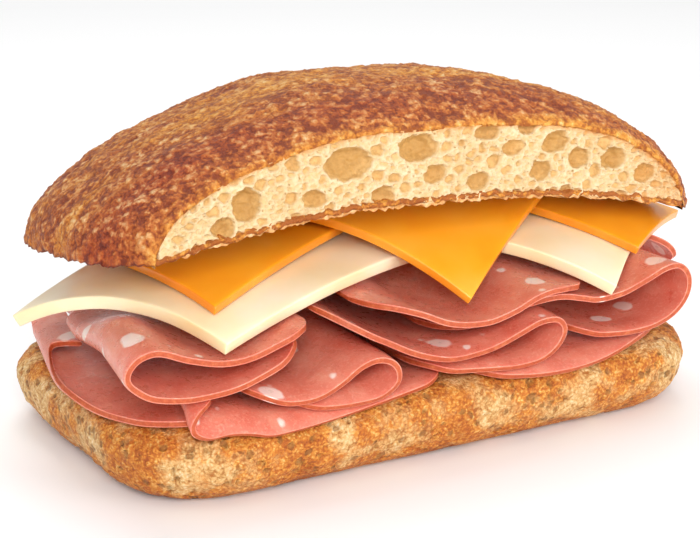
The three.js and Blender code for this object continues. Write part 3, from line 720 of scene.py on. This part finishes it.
def settle(x, y, z, sag, bed_fold):
    """How the stack rests: swells in the middle, hangs over the front, sags inside."""
    middle = clamp(1 - (abs(x) / 72) ** 4) * clamp(1 - ((y - 5) / 35) ** 2) ** 2
    back = 0.05 * smooth((y - 12) / 32)
    left = 0.25 * clamp((-58 - x) / 18) * clamp((y + 22) / 26)
    hang = 0.04 * max(0, -38 - y) ** 2 * clamp((31 - z) / 10)
    fold = 0.05 * max(0, -40 - y) ** 2 * clamp((25 - z) / 3.2) if bed_fold else 0
    level = BED + (z - BED) * (1 + 0.2 * middle - back - left) - hang - fold
    inside = clamp(1 - ((y - 8) / 30) ** 2) ** 2
    for place, reach, above, depth in sag:
        level -= depth * inside * clamp(1 - ((x - place) / reach) ** 2) ** 2 * clamp((z - above) / 2)
    return level


def slice_of(name, curve, reach, y, power, middle, half, spots, edge,
             sag=(), lean=(0, 0, 0), end=3.0, drift=((0, 0),)):
    """A folded slice: its curve in X and Z, as wide in Y as the outline there."""
    line, length = bend(curve)
    total = length[-1]
    columns, rows = round(total / 1.25), 56
    widest = length[np.linalg.norm(line - np.array(middle), axis=1).argmin()]
    bm = bmesh.new()
    bmesh.ops.create_grid(bm, x_segments=columns, y_segments=rows, size=1)
    flat = bm.loops.layers.uv.new("slice")
    where = {}
    for v in bm.verts:
        s = (v.co.x + 1) / 2 * total
        spread = v.co.y * (1.5 - 0.5 * v.co.y ** 2)
        near_end = clamp(1 - min(s, total - s) / CORNER)
        width = reach * clamp(1 - (abs(s - widest) / half) ** power) ** (1 / power)
        width -= CORNER * (1 - math.sqrt(1 - near_end ** 2))
        py = y + np.interp(s, *zip(*drift)) + spread * max(width, end)
        px, pz = np.interp(s, length, line[:, 0]), np.interp(s, length, line[:, 1])
        where[v] = (s * MM, py * MM)
        z = settle(px, py, pz, sag, name == "mortadella_bed_left")
        q = Vector((px, py, z))
        edgy = smooth((abs(v.co.y) - 0.6) / 0.4)
        wave = noise.noise(q / 16) * 0.35 + noise.noise(Vector((px / 7, py / 7, 3))) * 0.22 * edgy
        px += lean[0] * clamp(py - lean[1], 0, lean[2]) * clamp((-40 - px) / 30)
        v.co = at(px, py, z + wave * clamp((z - BED) / 3 + 0.3))
    for face in bm.faces:
        for loop in face.loops:
            loop[flat].uv = where[loop.vert]
    bmesh.ops.recalc_face_normals(bm, faces=bm.faces[:])
    meat = mortadella(name.replace("_", " ") + " meat", spots)
    piece = finish(bm, name + "_slice", [name], [meat, edge])
    wall = piece.modifiers.new("slice thickness", "SOLIDIFY")
    wall.thickness, wall.offset, wall.use_even_offset, wall.material_offset_rim = THICK * MM, 0, False, 1
    soft = piece.modifiers.new("soft rim", "SUBSURF")
    soft.levels = soft.render_levels = 1
    return piece


# ---------------------------------------------------------------- cheese

# plan corners in X and Y, thickness, heights of the underside on three by three places, mm
CHEESES = {
    "white_cheese_left": dict(front=(-56.4, -44.1), right=(1.3, -22.3), left=(-81.8, 5.2), thick=3.0,
                              under=[[34.9, 39.4, 40.6], [39.7, 42.2, 42.6], [31.2, 39.3, 40]]),
    "white_cheese_right": dict(front=(41.5, -44), right=(64.5, -24), left=(10, -10), thick=3.0,
                               under=[[32.4, 36, 37.4], [39.9, 41.6, 41.9], [40.2, 41.6, 41.2]]),
    "orange_cheese_left": dict(front=(-55.2, -37.1), right=(-1.5, -6.6), left=(-67.4, 18.4), thick=2.1,
                               under=[[41.3, 45.2, 46.8], [45, 46.9, 46.4], [42, 43, 38.4]]),
    "orange_cheese_right": dict(front=(54, -36.6), right=(81.8, -17.2), left=(20, 13.4), thick=2.1,
                                under=[[38.5, 40.1, 39.2], [45.9, 46.4, 43.9], [46.6, 46, 42.2]]),
    "orange_cheese_centre": dict(front=(5.1, -40), right=(43.2, -14.3), left=(-31, 5), thick=2.1,
                                 under=[[34.9, 42.8, 48.7], [48.4, 49.7, 50], [49.4, 49.5, 47.5]]),
}


def quadratic(v, t):
    """The parabola through three values, at the part t of the way."""
    return v[0] * 2 * (t - 0.5) * (t - 1) - v[1] * 4 * t * (t - 1) + v[2] * 2 * t * (t - 0.5)


def cheese(name, front, right, left, thick, under, materials):
    """A bent sheet of cheese with a knife-cut edge."""
    bm = bmesh.new()
    bmesh.ops.create_grid(bm, x_segments=44, y_segments=44, size=1)
    for v in bm.verts:
        p, q = (v.co.x + 1) / 2, (v.co.y + 1) / 2
        x = front[0] + (right[0] - front[0]) * p + (left[0] - front[0]) * q
        y = front[1] + (right[1] - front[1]) * p + (left[1] - front[1]) * q
        z = quadratic([quadratic(row, p) for row in under], q)
        v.co = at(x, y, z + noise.noise(Vector((x / 14, y / 14, 1))) * 0.15)
    for face in bm.faces:
        if face.normal.z < 0:
            face.normal_flip()
    piece = finish(bm, name + "_slice", [name], materials)
    wall = piece.modifiers.new("slice thickness", "SOLIDIFY")
    wall.thickness, wall.offset, wall.use_even_offset, wall.material_offset_rim = thick * MM, 1, True, 1
    edge = piece.modifiers.new("knife edge", "BEVEL")
    edge.width, edge.segments, edge.limit_method, edge.angle_limit = 0.32 * MM, 3, "ANGLE", math.radians(50)
    return piece


# ---------------------------------------------------------------- build

crumb_material = open_crumb()
crown_crust(crumb_material)
crumb_face(crumb_material)
heel()
rim_material = mortadella_edge()
for slice_name, shape in SLICES.items():
    slice_of(slice_name, **shape, edge=rim_material)
white = sliced_cheese("white processed cheese", "#f6e7c2", "#f0dcb0", "#faefd6")
# the edge materials are darker copies of the face colours: painted shade on the slices' cut sides
white_shaded_edge = sliced_cheese("white cheese shaded edge", "#f3e0b4", "#ecd49f", "#f8e9c8")
orange = sliced_cheese("orange processed cheese", "#f8a61c", "#f59a12", "#fbb236")
orange_shaded_edge = sliced_cheese("orange cheese shaded edge", "#f29018", "#ea8410", "#f8a832")
for cheese_name, shape in CHEESES.items():
    pair = [white, white_shaded_edge] if cheese_name.startswith("white") else [orange, orange_shaded_edge]
    cheese(cheese_name, **shape, materials=pair)

# ---------------------------------------------------------------- studio


def studio():
    """White paper, white room light and three soft lights."""
    bm = bmesh.new()
    bmesh.ops.create_grid(bm, x_segments=4, y_segments=4, size=6)
    mesh = bpy.data.meshes.new("studio_floor")
    bm.to_mesh(mesh)
    bm.free()
    floor = bpy.data.objects.new("studio_floor", mesh)
    bpy.context.scene.collection.objects.link(floor)
    material, tree, bsdf = start("white seamless paper", Roughness=0.9)
    bsdf.inputs["Base Color"].default_value = linear("#fbfbfb")
    mesh.materials.append(material)

    world = bpy.data.worlds.new("white studio")
    world.use_nodes = True
    world.node_tree.nodes["Background"].inputs["Color"].default_value = (1, 1, 1, 1)
    world.node_tree.nodes["Background"].inputs["Strength"].default_value = 0.6
    bpy.context.scene.world = world
    bpy.context.scene.view_settings.view_transform = "Standard"

    for name, place, size, watts in (("key softbox", (-0.5, -0.95, 0.55), 0.4, 9.3),
                                     ("fill softbox", (0.55, -0.95, 0.12), 0.6, 7.0),
                                     ("top strip", (0.1, 0.35, 1.0), 0.6, 4.0)):
        light = bpy.data.lights.new(name, "AREA")
        light.size, light.energy = size, watts
        lamp = bpy.data.objects.new(name, light)
        lamp.location = place
        lamp.rotation_euler = (Vector((0, 0, 0.04)) - Vector(place)).to_track_quat("-Z", "Y").to_euler()
        bpy.context.scene.collection.objects.link(lamp)


def camera():
    """A long lens from the front left, a little above."""
    azimuth, elevation, distance = math.radians(-30.1), math.radians(16.4), 457.0
    back = Vector((math.sin(azimuth) * math.cos(elevation), -math.cos(azimuth) * math.cos(elevation),
                   math.sin(elevation)))
    lens = bpy.data.cameras.new("product camera")
    lens.lens, lens.sensor_width, lens.clip_start = 100, 36, 0.01
    eye = bpy.data.objects.new("product camera", lens)
    aim = Vector((-1.6, 0.0, 33.9))
    eye.location = at(*(aim + back * distance))
    eye.rotation_euler = (-back).to_track_quat("-Z", "Y").to_euler()
    bpy.context.scene.collection.objects.link(eye)
    bpy.context.scene.camera = eye


studio()
camera()
